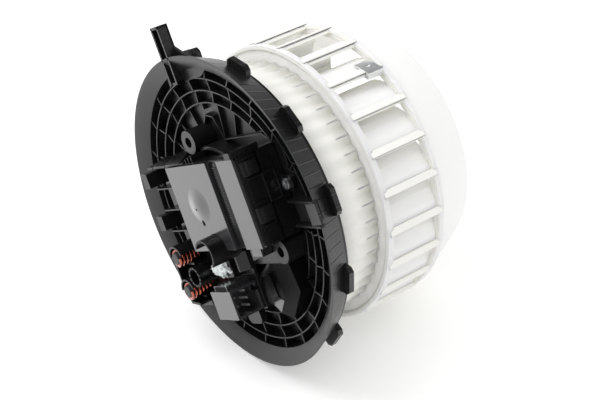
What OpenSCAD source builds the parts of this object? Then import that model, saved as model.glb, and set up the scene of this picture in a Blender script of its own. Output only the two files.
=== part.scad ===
// Cabin blower motor: a bladed wheel on a brush motor, carried by a ribbed
// mounting flange with the speed controller on its outer side.
// The shaft lies along Y. Y = 0 is the flange's seating plane, the wheel
// is on the +Y side and the controller on the -Y side. +Z is up.

/* [Flange] */
// Radius of the rim's front edge
flange_r = 86; // [84:0.5:92]
// Radius of the rim at the seating plane
rim_back_r = 80.5; // [79.5:0.5:82]
// Depth of the rim from seating plane to front edge
rim_depth = 13.2; // [11:0.2:16]
// Thickness of the rim's front edge
rim_lip = 1.4; // [1:0.1:2.5]
// Radius at which the rim's inner band meets the rib grid
rim_foot_r = 78.6; // [77:0.2:79]
// Thickness of the flange floor
floor_t = 2; // [1.5:0.1:3]
// Height of the rib grid above the seating plane
rib_top = 6.7; // [5:0.1:8]
// Thickness of a rib
rib_t = 1.1; // [0.8:0.1:1.6]
// Radius of the outermost rib ring
rib_ring_r = 72.2; // [70:0.2:73]
// Radial distance between rib rings
rib_ring_pitch = 6.9; // [6:0.1:7.4]
// Number of radial ribs
spoke_count = 24; // [20:1:28]
// Sideways kink of a radial rib from ring to ring, in degrees
spoke_kink = 1.4; // [0:0.2:2]
// Number of locking lugs round the seating edge
lug_count = 12; // [8:1:14]
// Width of a lug, in degrees
lug_arc = 10.5; // [8:0.5:13]
// How far a lug stands out past the rim
lug_reach = 5.6; // [4:0.2:7]
// Thickness of a lug along the shaft
lug_t = 3; // [2.4:0.2:4]
// Outer radius of the register that centres the flange in the air case
register_r = 79.6; // [79:0.1:80]
// Length of the register behind the seating plane
register_len = 2; // [1.6:0.2:2.2]

/* [Handle bar] */
// Width of the radial bar
bar_w = 8; // [6:0.5:10]
// Depth of the radial bar along the shaft
bar_d = 6.2; // [5:0.2:7]
// Distance of the bar's tip from the shaft
bar_tip = 102.5; // [96:0.5:106]
// Sideways place of the bar's middle
bar_x = -6.5; // [-9:0.5:-4]
// Wall of the bar's channel
bar_wall = 1.4; // [1:0.1:2]

/* [Screw posts] */
// Outer radius of a screw post
post_r = 6.5; // [5.8:0.1:7]
// Radius of the screw hole
post_hole_r = 2.8; // [2:0.1:3.2]
// Height of the posts above the seating plane
post_top = 16; // [14:0.5:18]
// Sideways place of the upper post
post_a_x = -8.2; // [-10:0.2:-6]
// Upward place of the upper post
post_a_y = 41; // [40.4:0.2:42]
// Sideways place of the lower post
post_b_x = 44; // [42:0.2:46]
// Upward place of the lower post
post_b_y = -21; // [-23:0.2:-20.6]

/* [Motor] */
// Outer radius of the motor can
can_r = 33; // [31:0.5:33.5]
// Sheet thickness of the can
can_t = 1.6; // [1.2:0.1:2]
// Length of the can behind its open rim
can_len = 50; // [48:0.5:51]
// Height of the can's open rim above the seating plane
can_top = 3; // [2:0.2:3.4]
// Radial thickness of a field magnet
magnet_t = 5; // [4:0.2:5.4]
// Length of a field magnet
magnet_len = 38; // [34:0.5:40]
// Radial gap between magnets and armature
air_gap = 0.8; // [0.6:0.1:1.2]
// Radius of the shaft
shaft_r = 4; // [3.5:0.1:4.2]
// Length of the shaft
shaft_len = 79; // [78:0.5:82]
// Radius of the commutator
commutator_r = 9; // [8:0.2:9.6]
// Number of armature slots and commutator bars
slot_count = 12; // [10:2:14]
// Length of the lamination stack
core_len = 26; // [22:0.5:28]
// Radial running clearance of the shaft in its bearings
run_gap = 0.03; // [0.02:0.01:0.06]
// Outer radius of a bearing ball
bearing_r = 8; // [7.4:0.1:8.4]
// Wall of the flange's motor cup
cup_wall = 1.8; // [1.4:0.1:2]
// Radial thickness of the rubber damper
damper_t = 2; // [1.6:0.1:2.2]

/* [Blower wheel] */
// Outer radius of the wheel's rings
wheel_r = 76.8; // [74:0.2:78]
// Gap between flange and wheel
wheel_gap = 3; // [2.4:0.2:4]
// Length of the fine-ribbed skirt
skirt_len = 29; // [27:0.5:30]
// Outer radius of the skirt wall
skirt_r = 65.6; // [64:0.2:66]
// Number of fine blades on the skirt
fine_count = 48; // [40:1:52]
// Height of a fine blade
fine_h = 3.2; // [2.4:0.2:4]
// Number of broad blades
blade_count = 23; // [19:1:25]
// Length of the broad blades
blade_len = 34.5; // [32:0.5:37]
// Radius of the blades' inner edges
blade_in_r = 56; // [54:0.5:60]
// Forward sweep of a blade's tip, in degrees
blade_sweep = 20; // [14:0.5:22]
// Clock angle of the first broad blade's inner edge
blade_phase = 11; // [0:0.5:15]
// Thickness of a broad blade
blade_t = 1.7; // [1.3:0.1:2]
// Thickness of the wheel's shell walls
wheel_wall = 1.6; // [1.3:0.1:2]
// Axial width of the outer rings
ring_w = 3.6; // [3:0.2:4.5]
// Radius of the air inlet's lip
inlet_r = 62.4; // [61:0.2:65]
// Length of the inlet shroud
shroud_len = 29.4; // [26:0.2:32]
// Outer radius of the wheel's hub boss
hub_r = 9; // [8.4:0.2:10]

/* [Controller] */
// Clock angle of the controller on the flange
clock = 32.4; // [30:0.1:35]
// Height of the controller's top plates
ctl_top = 28; // [27:0.5:29]
// Left edge of the top plate
plate_x0 = -20; // [-22:0.5:-19]
// Right edge of the main plate
plate_x1 = 23; // [22:0.5:24]
// Right edge of the housing
ctl_x1 = 50; // [49:0.5:51]
// Width of the grey strip beside the groove
strip_w = 16; // [14:0.5:17]
// Upper edge of the housing
ctl_y1 = 32; // [31:0.5:32.5]
// Lower edge of the main housing block
ctl_y0 = -14.6; // [-15:0.2:-14.2]
// Left edge of the housing
ctl_x0 = -50; // [-51:0.5:-49]
// Wall thickness of the housing
ctl_wall = 1.8; // [1.4:0.1:2.2]
// Radius of the round bulge on the main plate
bulge_r = 11; // [9:0.5:11.5]
// Length of a choke's rod
choke_len = 16; // [14:0.5:16]
// Radius of a choke's ferrite rod
rod_r = 3.2; // [2.8:0.1:3.4]
// Radius of the choke wire
wire_r = 0.85; // [0.7:0.05:0.95]
// Number of turns on a choke
coil_turns = 6; // [5:1:7]
// Radius of the large capacitor
cap_a_r = 8; // [7:0.2:8.4]
// Radius of the fluted capacitor
cap_b_r = 5.7; // [5:0.1:6]
// Length of the connector socket along the shaft
conn_d = 16.4; // [15:0.2:16.6]
// Width of the connector socket
conn_w = 20.5; // [18:0.5:21]
// Height of the connector socket
conn_h = 16; // [14:0.5:16.5]

/* [Hidden] */

$fn = 96;
eps = 0.02;
// Gap between pieces that seat on each other without moving
seat_gap = 0.1;
// Gap between a turning and a fixed piece beside it
side_gap = 0.3;

// Flange: the motor cup is sized from the can and the damper
cup_in_r = can_r + damper_t + 2 * seat_gap;
cup_out_r = cup_in_r + cup_wall;
cup_top = 13;
cup_back = -16;
ledge_t = 2;
cap_t = 4;
cap_top = can_top + cap_t;
ledge_z = cap_top + seat_gap;
ledge_in_r = can_r - 11;
lug_phase = 2;
spoke_phase = 3;
rib_rings = 3;
web_t = 1.6;
register_wall = 1.6;
// Rise of the rim's inner knee above the rib grid
knee_rise = 0.6;
// Step from a ring's top down to a spoke's
spoke_drop = 0.4;

// Motor
can_in_r = can_r - can_t;
can_back = can_top - can_len;
magnet_out_r = can_in_r - seat_gap;
magnet_in_r = magnet_out_r - magnet_t;
core_r = magnet_in_r - air_gap;
core_back = can_back + 9;
core_top = core_back + core_len;
magnet_back = core_back + core_len / 2 - magnet_len / 2;
nose_r = bearing_r + can_t + seat_gap;
nose_len = 5.6;
bearing_half = 2.5;
front_bearing_z = can_back - nose_len + can_t + seat_gap + bearing_half;
bearing_seat_top = cap_top - 0.9;
rear_bearing_z = bearing_seat_top - seat_gap - bearing_half;
shaft_top = rear_bearing_z + bearing_half + 0.6;
slot_r = 3.2;
slot_ring_r = core_r - slot_r - 3;
end_turn = 4.6;
commutator_top = can_top - 2.6;
commutator_back = core_top + end_turn + 0.4;
screw_ring_r = can_r - 7;
screw_r = 2;

// Brushes lie across the commutator
brush_w = 5;
brush_h = 6;
brush_len = 9.6;
brush_z = (commutator_top + commutator_back) / 2;
brush_r0 = commutator_r + side_gap;
card_in_r = commutator_r + 3.4;
card_t = 1.8;
card_z = can_top - card_t - seat_gap;
holder_wall = 1.1;

// Wheel
wheel_top = -wheel_gap;
ring_a_top = wheel_top - skirt_len + 1.8;
ring_a_back = ring_a_top - ring_w;
plate_z = ring_a_top - ring_w / 2;
blade_back = plate_z - blade_len;
ring_b_top = blade_back + ring_w / 2;
ring_b_back = ring_b_top - ring_w;
shroud_r = wheel_r - 3.4;
inlet_z = ring_b_back - shroud_len;
skirt_in_r = skirt_r - wheel_wall;
hub_back = shaft_top - shaft_len + 4.4;
hub_top = hub_back + 14;
cone_knee_r = can_r + 8;
cone_knee_z = can_back - 5;
blade_steps = 7;

// Controller, in the clocked frame
ctl_base = cup_top + 0.3;
tray_t = 2;
tray_z = ctl_base + tray_t;
plate_t = 2.6;
cover_t = 1.6;
cover_z = ctl_top - plate_t - cover_t;
deck_z = 21;
lower_y0 = -52;
lower_x1 = 10;
skirt_foot = floor_t + 0.3;
strip_x0 = ctl_x1 - strip_w;
board_t = 1.6;
board_z = tray_z + 1.5;
bulge_x = 1.9;
bulge_y = 10.4;
choke_x = -40;
choke_a_y = -17.4;
choke_b_y = -36.3;
choke_z = tray_z + seat_gap;
coil_r = rod_r + wire_r + seat_gap;
cap_a_x = 6;
cap_a_y = -13.4;
cap_a_top = 37;
cap_b_x = -25.5;
cap_b_y = -28;
cap_b_top = 31;
conn_x0 = -13;
conn_y0 = -52;
conn_wall = 1.4;
conn_z = tray_z + seat_gap;
conn_top = conn_z + conn_d;
hook_w = 8;
hook_t = 6;
hook_a_y = 22;
hook_b_y = -2;
screw_x = ctl_x1 + 5.4;
screw_y = 11;
ear_r = 4.2;
side_rib = 1.4;

// Outer end of the balance clip, beside the end ring
clip_blade = 5;
clip_hole_r = 1.6;
clip_mid = 0.93;
clip_len = 9.5;
clip_t = 0.8;
clip_gap = 0.3;
clip_z = ring_b_top + 0.4;

// Turns a piece modelled along Z, front up, into the shaft's direction
module shaft_frame() {
    rotate([90, 0, 0]) children();
}

// The same, turned by the controller's clock angle
module clocked_frame() {
    rotate([90, 0, 0]) rotate([0, 0, clock]) children();
}

module tube(r_out, r_in, z0, z1) {
    translate([0, 0, z0]) difference() {
        cylinder(r = r_out, h = z1 - z0);
        translate([0, 0, -1]) cylinder(r = r_in, h = z1 - z0 + 2);
    }
}

module box(x0, y0, z0, x1, y1, z1) {
    translate([x0, y0, z0]) cube([x1 - x0, y1 - y0, z1 - z0]);
}

// Flange moulding

module rim_profile() {
    polygon([
        [rim_back_r - 4, 0], [rim_back_r, 0], [flange_r, rim_depth],
        [flange_r - rim_lip, rim_depth], [rim_foot_r, rib_top + knee_rise],
        [rim_foot_r - 0.6, floor_t], [rim_back_r - 4, floor_t]]);
}

// One radial rib, kinked a little from ring to ring
module spoke(inner_r) {
    ring = [rim_foot_r + 0.4, rib_ring_r, rib_ring_r - rib_ring_pitch,
            rib_ring_r - 2 * rib_ring_pitch, inner_r];
    for (i = [0:3]) {
        a0 = (i % 2 == 0) ? 0 : spoke_kink;
        a1 = (i % 2 == 0) ? spoke_kink : 0;
        p0 = [ring[i] * cos(a0), ring[i] * sin(a0)];
        p1 = [ring[i + 1] * cos(a1), ring[i + 1] * sin(a1)];
        d = (p1 - p0) / norm(p1 - p0);
        n = [-d[1], d[0]] * rib_t / 2;
        over = d * 0.3;
        translate([0, 0, floor_t - 0.5]) linear_extrude(rib_top - spoke_drop - floor_t + 0.5)
            polygon([p0 - over - n, p1 + over - n, p1 + over + n, p0 - over + n]);
    }
}

module lug() {
    half = (rim_back_r + lug_reach) * sin(lug_arc / 2);
    chamfer = 2;
    top_r = rim_back_r + lug_reach;
    linear_extrude(lug_t) polygon([
        [rim_back_r - 3, -half], [top_r - chamfer, -half], [top_r, -half + chamfer],
        [top_r, half - chamfer], [top_r - chamfer, half], [rim_back_r - 3, half]]);
}

module handle_bar() {
    z1 = rim_depth;
    z0 = rim_depth - bar_d;
    x0 = bar_x - bar_w / 2;
    x1 = bar_x + bar_w / 2;
    foot_y = rib_ring_r - 1;
    difference() {
        box(x0, foot_y, z0, x1, bar_tip, z1);
        box(x0 + bar_wall, foot_y + 4, z0 - 1, x1 - bar_wall, bar_tip - bar_wall, z1 - bar_wall);
    }
    // The foot stands on the rib grid
    box(x0, foot_y, floor_t - 0.5, x1, foot_y + 3.4, z1 - 0.5);
    // The web braces the bar against the rim
    translate([0, 0, z0]) linear_extrude(web_t) polygon([
        [x1 - 0.5, bar_tip - 12], [x1 + 8, bar_tip - 17], [x1 + 22, flange_r - 6.5],
        [x1 + 26, flange_r - 10], [x1 - 0.5, flange_r - 8]]);
}

module label_pad() {
    box(59, -9, floor_t - 0.5, 76, 2, rib_top + 1);
    box(57, 3.4, floor_t - 0.5, 78, 4.6, rib_top + 2.4);
    box(57, -11.6, floor_t - 0.5, 78, -10.4, rib_top + 2.4);
}

module mounting_flange() {
    color([0.07, 0.07, 0.075]) {
        shaft_frame() difference() {
            union() {
                rotate_extrude($fn = 180) rim_profile();
                tube(rim_back_r - 3.9, cup_in_r, 0, floor_t);
                tube(register_r, register_r - register_wall, -register_len, floor_t - 0.5);
                for (i = [0:rib_rings - 1]) {
                    r = rib_ring_r - i * rib_ring_pitch;
                    tube(r + rib_t / 2, r - rib_t / 2, floor_t - 0.5, rib_top);
                }
                for (i = [0:spoke_count - 1])
                    rotate([0, 0, spoke_phase + 360 / spoke_count * i]) spoke(cup_out_r - 0.5);
                for (i = [0:lug_count - 1])
                    rotate([0, 0, lug_phase + 360 / lug_count * i]) lug();
                tube(cup_out_r, cup_in_r, cup_back, cup_top);
                tube(cup_in_r + eps, ledge_in_r, ledge_z, ledge_z + ledge_t);
                rotate([0, 0, clock]) {
                    handle_bar();
                    translate([post_a_x, post_a_y, 0]) cylinder(r = post_r, h = post_top);
                    translate([post_b_x, post_b_y, 0]) cylinder(r = post_r, h = post_top);
                    label_pad();
                }
            }
            rotate([0, 0, clock]) {
                for (p = [[post_a_x, post_a_y], [post_b_x, post_b_y]])
                    translate([p[0], p[1], -1]) cylinder(r = post_hole_r, h = post_top + 2);
                // The controller's skirt and socket stand in a clear bay
                box(ctl_x1 - 8, ctl_y0 - side_gap, floor_t, ctl_x1 + side_rib + side_gap, ctl_y1 + side_gap,
                    rib_top + 1);
                box(ctl_x1, screw_y - ear_r - side_gap, floor_t, screw_x, screw_y + ear_r + side_gap, rib_top + 1);
                translate([screw_x, screw_y, floor_t]) cylinder(r = ear_r + side_gap, h = rib_top);
            }
            for (i = [0:2])
                rotate([0, 0, 90 + 120 * i]) translate([screw_ring_r, 0, ledge_z - 1])
                    cylinder(r = screw_r + 0.2, h = ledge_t + 2);
        }
    }
}

// Motor

module motor_can() {
    color([0.62, 0.63, 0.65]) shaft_frame() rotate_extrude() polygon([
        [can_in_r, can_top], [can_r, can_top], [can_r, can_back + 2], [can_r - 2, can_back],
        [nose_r, can_back], [nose_r, can_back - nose_len], [shaft_r + 1.2, can_back - nose_len],
        [shaft_r + 1.2, can_back - nose_len + can_t], [nose_r - can_t, can_back - nose_len + can_t],
        [nose_r - can_t, can_back + can_t], [can_in_r - 1, can_back + can_t],
        [can_in_r, can_back + can_t + 1]]);
}

module field_magnets() {
    color([0.25, 0.25, 0.27]) shaft_frame() for (a = [0, 180])
        rotate([0, 0, a + 24]) translate([0, 0, magnet_back])
            rotate_extrude(angle = 132) translate([magnet_in_r, 0])
                square([magnet_t, magnet_len]);
}

module motor_end_cap() {
    color([0.55, 0.56, 0.58]) shaft_frame() difference() {
        union() {
            tube(can_r, shaft_r + 1.2, can_top + seat_gap, cap_top);
            tube(can_in_r - seat_gap, can_in_r - 3, can_top - 1.4, can_top + 1);
        }
        // Seat of the rear bearing
        translate([0, 0, can_top - 3]) cylinder(r = bearing_r + seat_gap, h = bearing_seat_top - can_top + 3);
        for (i = [0:2])
            rotate([0, 0, 90 + 120 * i]) translate([screw_ring_r, 0, can_top - 1])
                cylinder(r = screw_r + seat_gap, h = cap_t + 2);
    }
}

module bearing_at(z) {
    shaft_frame() translate([0, 0, z]) difference() {
        intersection() {
            sphere(r = bearing_r);
            translate([0, 0, -bearing_half]) cylinder(r = bearing_r + 1, h = 2 * bearing_half);
        }
        translate([0, 0, -bearing_half - 1])
            cylinder(r = shaft_r + run_gap, h = 2 * bearing_half + 2);
    }
}

module rear_bearing() {
    color([0.72, 0.55, 0.3]) bearing_at(rear_bearing_z);
}

module front_bearing() {
    color([0.72, 0.55, 0.3]) bearing_at(front_bearing_z);
}

module brush_card() {
    color([0.16, 0.13, 0.1]) shaft_frame() difference() {
        union() {
            tube(can_in_r - 3 - seat_gap, card_in_r, card_z, card_z + card_t);
            for (a = [0, 180]) rotate([0, 0, a]) box(
                brush_r0 + 1.2, -brush_w / 2 - seat_gap - holder_wall, brush_z - brush_h / 2 - holder_wall,
                brush_r0 + brush_len + 6, brush_w / 2 + seat_gap + holder_wall, card_z + 0.5);
        }
        for (a = [0, 180]) rotate([0, 0, a]) box(
            0, -brush_w / 2 - seat_gap, brush_z - brush_h / 2 - seat_gap,
            brush_r0 + brush_len + 5, brush_w / 2 + seat_gap, brush_z + brush_h / 2 + seat_gap);
    }
}

module carbon_brushes() {
    color([0.12, 0.12, 0.12]) shaft_frame() for (a = [0, 180]) rotate([0, 0, a])
        difference() {
            box(brush_r0 - 0.5, -brush_w / 2, brush_z - brush_h / 2,
                brush_r0 + brush_len, brush_w / 2, brush_z + brush_h / 2);
            translate([0, 0, brush_z - brush_h]) cylinder(r = brush_r0, h = 2 * brush_h);
        }
}

// Round wire along a helix about the X axis, as one closed mesh
module helix_wire(r, wire, pitch, turns, sides = 6, steps = 12) {
    rings = turns * steps;
    points = [for (i = [0:rings]) let (a = 360 * i / steps, c = [pitch * i / steps, r * cos(a), r * sin(a)],
        u = [0, cos(a), sin(a)]) for (j = [0:sides - 1]) let (b = 360 * j / sides)
        c + wire * (u * cos(b) + [1, 0, 0] * sin(b))];
    faces = concat(
        [[for (j = [0:sides - 1]) j]],
        [for (i = [0:rings - 1]) for (j = [0:sides - 1]) let (k = (j + 1) % sides)
            [i * sides + j, (i + 1) * sides + j, (i + 1) * sides + k, i * sides + k]],
        [[for (j = [sides - 1:-1:0]) rings * sides + j]]);
    polyhedron(points, faces, convexity = 8);
}

module brush_springs() {
    color([0.7, 0.7, 0.72]) shaft_frame() for (a = [0, 180]) rotate([0, 0, a])
        translate([brush_r0 + brush_len + 0.5, 0, brush_z])
            helix_wire(1.8, 0.25, 0.95, 4);
}

module damper_ring() {
    color([0.1, 0.1, 0.1]) shaft_frame() {
        tube(cup_in_r - seat_gap, can_r + seat_gap, cup_back + 2, -2);
    }
}

module pan_screw(head_r, head_h, r, len) {
    difference() {
        union() {
            cylinder(r = head_r, h = head_h);
            translate([0, 0, -len]) cylinder(r = r, h = len + eps);
        }
        for (a = [0, 90]) rotate([0, 0, a])
            translate([-head_r * 0.6, -0.45, head_h - 1]) cube([head_r * 1.2, 0.9, 2]);
    }
}

module motor_screws() {
    color([0.75, 0.75, 0.77]) shaft_frame() for (i = [0:2])
        rotate([0, 0, 90 + 120 * i]) translate([screw_ring_r, 0, ledge_z + ledge_t])
            pan_screw(3.6, 2.4, screw_r, ledge_t + cap_t - 0.6);
}

// Controller

module tray_outline() {
    polygon([
        [ctl_x0, ctl_y1], [ctl_x1, ctl_y1], [ctl_x1, ctl_y0], [lower_x1, ctl_y0],
        [lower_x1, lower_y0], [ctl_x0 + 4, lower_y0], [ctl_x0, lower_y0 + 10]]);
}

module snap_hook(y) {
    box(ctl_x0, y, tray_z - 1, ctl_x0 + hook_t, y + hook_w, ctl_top);
    box(ctl_x0 - 1.6, y, ctl_top - 5, ctl_x0 + 1, y + hook_w, ctl_top - 1.2);
}

module coil_cradle(y) {
    translate([choke_x, y, tray_z - 0.5]) rotate([0, 0, 35])
        rotate_extrude(angle = 120) translate([coil_r + wire_r + 0.7, 0])
            square([1.3, choke_len - 0.5]);
}

module control_housing() {
    color([0.05, 0.05, 0.055]) clocked_frame() difference() {
        union() {
            // Tray floor
            translate([0, 0, ctl_base]) linear_extrude(tray_t) tray_outline();
            // Walls round the electronics
            difference() {
                box(plate_x0 - ctl_wall, ctl_y0, ctl_base + 0.5, ctl_x1, ctl_y1, cover_z);
                box(plate_x0, ctl_y0 + ctl_wall, ctl_base, ctl_x1 - ctl_wall, ctl_y1 - ctl_wall, cover_z + 1);
            }
            // Skirt that stands on the flange floor
            box(ctl_x1 - 6, ctl_y0, skirt_foot, ctl_x1, ctl_y1, ctl_base + 1);
            // Ribs on the side wall
            for (y = [28, 20, 12, 4, -4, -11])
                box(ctl_x1 - 1, y, skirt_foot, ctl_x1 + side_rib, y + 1.2, cover_z - 1);
            // Deck on the left with its thin ribs and snap hooks
            box(ctl_x0 + 4, -8, ctl_base + 0.5, plate_x0 - 1, ctl_y1 - 4, deck_z);
            for (y = [17.5, 9.6])
                box(ctl_x0 + 1, y, ctl_base + 0.5, plate_x0 - 1, y + 1, deck_z + 4);
            snap_hook(hook_a_y);
            snap_hook(hook_b_y);
            // Finger at the upper right corner
            box(ctl_x1 - 5, ctl_y1 + seat_gap, ctl_base - 2, ctl_x1 + 0.6, ctl_y1 + 3.4, ctl_top + 0.6);
            box(ctl_x1 - 5, ctl_y1 - 1, ctl_base - 2, ctl_x1 - 0.5, ctl_y1 + 1, cover_z - seat_gap);
            coil_cradle(choke_a_y);
            coil_cradle(choke_b_y);
            // Screw ear beside the wall
            translate([screw_x, screw_y, skirt_foot]) cylinder(r = ear_r, h = 3);
            box(ctl_x1 - 1, screw_y - ear_r, skirt_foot, screw_x, screw_y + ear_r, skirt_foot + 3);
        }
        // Three slots in the side wall
        for (i = [0:2])
            box(ctl_x1 - 3, 5.6 + 5.6 * i, 8, ctl_x1 + 3, 9.4 + 5.6 * i, 16);
        // Room for the lower screw post
        translate([post_b_x, post_b_y, 0]) cylinder(r = post_r + 0.3, h = post_top + 0.3);
        translate([post_a_x, post_a_y, 0]) cylinder(r = post_r + 0.3, h = post_top + 0.3);
        translate([screw_x, screw_y, 0]) cylinder(r = 1.8, h = 10);
        // The tray's underside clears the motor cup
        translate([0, 0, 0]) cylinder(r = cup_out_r + 0.3, h = ctl_base - 0.01);
        // Seat of the large capacitor
        translate([cap_a_x, cap_a_y, tray_z]) cylinder(r = cap_a_r + seat_gap, h = 30);
    }
}

module control_cover() {
    color([0.5, 0.5, 0.5]) clocked_frame() difference() {
        union() {
            box(plate_x0 - ctl_wall, ctl_y0, cover_z, ctl_x1, ctl_y1, cover_z + cover_t);
            box(plate_x0, ctl_y0, cover_z + cover_t - 0.5, plate_x1, ctl_y1, ctl_top);
            box(strip_x0, ctl_y0 + 1, cover_z + cover_t - 0.5, ctl_x1, ctl_y1 - 1, ctl_top);
            // Fine ribbing in the groove
            for (i = [0:27])
                box(plate_x1 + 0.6, ctl_y0 + 2 + i * 1.6, cover_z + 0.5, plate_x1 + 5, ctl_y0 + 2.8 + i * 1.6,
                    ctl_top - 1);
            // Round bulge with its crease
            intersection() {
                translate([bulge_x, bulge_y, ctl_top - 28]) sphere(r = 28 + 1.7);
                translate([bulge_x, bulge_y, ctl_top - 0.5]) cylinder(r = bulge_r, h = 4);
            }
        }
        translate([bulge_x + 2.4, bulge_y - 5.6, ctl_top]) rotate([0, 0, 8])
            cube([0.5, 9, 6], center = true);
        translate([cap_a_x, cap_a_y, cover_z - 1]) cylinder(r = cap_a_r + seat_gap, h = 8);
    }
}

module circuit_board() {
    color([0.1, 0.35, 0.2]) clocked_frame() difference() {
        box(plate_x0 + 1, ctl_y0 + ctl_wall + 0.5, board_z, ctl_x1 - ctl_wall - 0.6, ctl_y1 - ctl_wall - 0.5,
            board_z + board_t);
        translate([cap_a_x, cap_a_y, board_z - 1]) cylinder(r = cap_a_r + 1, h = 4);
    }
    // Standoffs carry the board on the tray
    color([0.1, 0.35, 0.2]) clocked_frame() for (p = [[plate_x0 + 6, 24], [38, 24], [-12, -4], [38, -6]])
        translate([p[0], p[1], tray_z + seat_gap]) cylinder(r = 2, h = board_z - tray_z);
}

module power_transistors() {
    color([0.13, 0.13, 0.13]) clocked_frame() for (x = [-8, 6, 20]) {
        box(x - 5, 18, board_z + board_t, x + 5, 27, board_z + board_t + 4.2);
    }
}

module heat_sink() {
    color([0.75, 0.76, 0.78]) clocked_frame() {
        z0 = board_z + board_t;
        box(-16, 1, z0, 32, 15, z0 + 1.5);
        for (i = [0:5])
            box(-15 + i * 9, 1, z0 + 1, -13.6 + i * 9, 15, z0 + 4.4);
    }
}

module main_capacitor() {
    color([0.06, 0.06, 0.065]) clocked_frame() translate([cap_a_x, cap_a_y, tray_z + seat_gap])
        difference() {
            cylinder(r = cap_a_r, h = cap_a_top - tray_z);
            translate([0, 0, cap_a_top - tray_z - 1.2]) cylinder(r = cap_a_r - 1.1, h = 2);
        }
}

module fluted_capacitor() {
    h = cap_b_top - tray_z;
    color([0.08, 0.08, 0.085]) clocked_frame() translate([cap_b_x, cap_b_y, tray_z + seat_gap])
        difference() {
            cylinder(r = cap_b_r, h = h);
            for (i = [0:11]) rotate([0, 0, 30 * i])
                translate([cap_b_r + 0.35, 0, 2]) cylinder(r = 0.9, h = h);
        }
}

// Copper wire wound round a ferrite rod
module choke_coil(y) {
    pitch = (choke_len - 5) / coil_turns;
    clocked_frame() translate([choke_x, y, choke_z + 1.6]) rotate([0, -90, 0])
        helix_wire(coil_r, wire_r, pitch, coil_turns, 8, 20);
}

module upper_choke_coil() {
    color([0.72, 0.32, 0.18]) choke_coil(choke_a_y);
}

module lower_choke_coil() {
    color([0.72, 0.32, 0.18]) choke_coil(choke_b_y);
}

module ferrite_rod(y) {
    clocked_frame() translate([choke_x, y, choke_z]) cylinder(r = rod_r, h = choke_len - 0.4);
}

module upper_ferrite_rod() {
    color([0.3, 0.3, 0.31]) ferrite_rod(choke_a_y);
}

module lower_ferrite_rod() {
    color([0.3, 0.3, 0.31]) ferrite_rod(choke_b_y);
}

module connector_socket() {
    x1 = conn_x0 + conn_w;
    y1 = conn_y0 + conn_h;
    color([0.06, 0.06, 0.065]) clocked_frame() difference() {
        union() {
            box(conn_x0, conn_y0 + 0.4, conn_z, x1, y1, conn_top);
            box(conn_x0 + 2, y1 - 0.5, conn_z, x1 - 5, y1 + 2.4, conn_top - 2);
        }
        box(conn_x0 + 6, conn_y0 + 0.4 + conn_wall, conn_z + conn_wall, x1 + 1, y1 - conn_wall, conn_top - conn_wall);
        // Key notch
        box(x1 - 6, y1 - 5, conn_z - 1, x1 + 1, y1 - 2.6, conn_z + 3);
    }
}

module connector_pins() {
    color([0.8, 0.8, 0.82]) clocked_frame() {
        yc = conn_y0 + 0.2 + conn_h / 2;
        zc = conn_z + conn_d / 2;
        for (p = [[-4, -3.6], [0, -3.6], [4, -3.6], [-2.4, 3], [2.4, 3]])
            box(conn_x0 + 6.1, yc + p[0] - 0.8, zc - p[1] - 0.4, conn_x0 + conn_w - 4, yc + p[0] + 0.8, zc - p[1] + 0.4);
    }
}

module sealing_beads() {
    color([0.93, 0.93, 0.9]) clocked_frame()
        for (p = [[-14, -22, 4.2], [-16.2, -26.6, 3.2], [-12.6, -27, 2.6]])
            translate([p[0], p[1], tray_z + seat_gap]) intersection() {
                sphere(r = p[2], $fn = 24);
                cylinder(r = p[2] + 1, h = p[2] + 1);
            }
}

module housing_screw() {
    color([0.75, 0.75, 0.77]) clocked_frame() translate([screw_x, screw_y, skirt_foot + 3])
        pan_screw(3, 1.8, 1.6, 3);
}

// Rotor

module motor_shaft() {
    color([0.8, 0.8, 0.82]) shaft_frame() translate([0, 0, shaft_top - shaft_len])
        cylinder(r = shaft_r, h = shaft_len);
}

module armature_core() {
    color([0.5, 0.5, 0.52]) shaft_frame() translate([0, 0, core_back]) difference() {
        cylinder(r = core_r, h = core_len);
        translate([0, 0, -1]) cylinder(r = shaft_r + run_gap, h = core_len + 2);
        for (i = [0:slot_count - 1]) rotate([0, 0, 360 / slot_count * i]) {
            translate([slot_ring_r, 0, -1]) cylinder(r = slot_r, h = core_len + 2);
            translate([slot_ring_r, -0.9, -1]) cube([core_r, 1.8, core_len + 2]);
        }
    }
}

module armature_winding() {
    in_r = slot_ring_r - slot_r - 3;
    out_r = slot_ring_r + slot_r + 0.6;
    color([0.7, 0.36, 0.2]) shaft_frame() {
        tube(out_r, in_r, core_back - end_turn, core_back - seat_gap);
        tube(out_r, in_r, core_top + seat_gap, core_top + end_turn);
        for (i = [0:slot_count - 1]) rotate([0, 0, 360 / slot_count * i])
            translate([slot_ring_r, 0, core_back - 1]) cylinder(r = slot_r - seat_gap, h = core_len + 2);
    }
}

module commutator() {
    color([0.75, 0.42, 0.25]) shaft_frame() difference() {
        tube(commutator_r, shaft_r + run_gap, commutator_back, commutator_top);
        for (i = [0:slot_count - 1]) rotate([0, 0, 360 / slot_count * i])
            translate([commutator_r - 0.7, -0.25, commutator_back + 2]) cube([2, 0.5, 40]);
    }
}

// Blower wheel

// A blade's middle line: t = 0 at the inner edge, 1 at the tip
function blade_point(t) = let (
    r = blade_in_r + (wheel_r - 0.6 - blade_in_r) * t, a = -blade_sweep * pow(abs(t), 2.1))
    [r * cos(a), r * sin(a)];
function blade_normal(t) = let (d = blade_point(t + 0.01) - blade_point(t - 0.01))
    [-d[1], d[0]] / norm(d);
function blade_side(t, off) = blade_point(t) + off * blade_normal(t);

module blade_band(t0, t1, off0, off1, steps) {
    polygon(concat(
        [for (i = [0:steps]) blade_side(t0 + (t1 - t0) * i / steps, off0)],
        [for (i = [steps:-1:0]) blade_side(t0 + (t1 - t0) * i / steps, off1)]));
}

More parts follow.
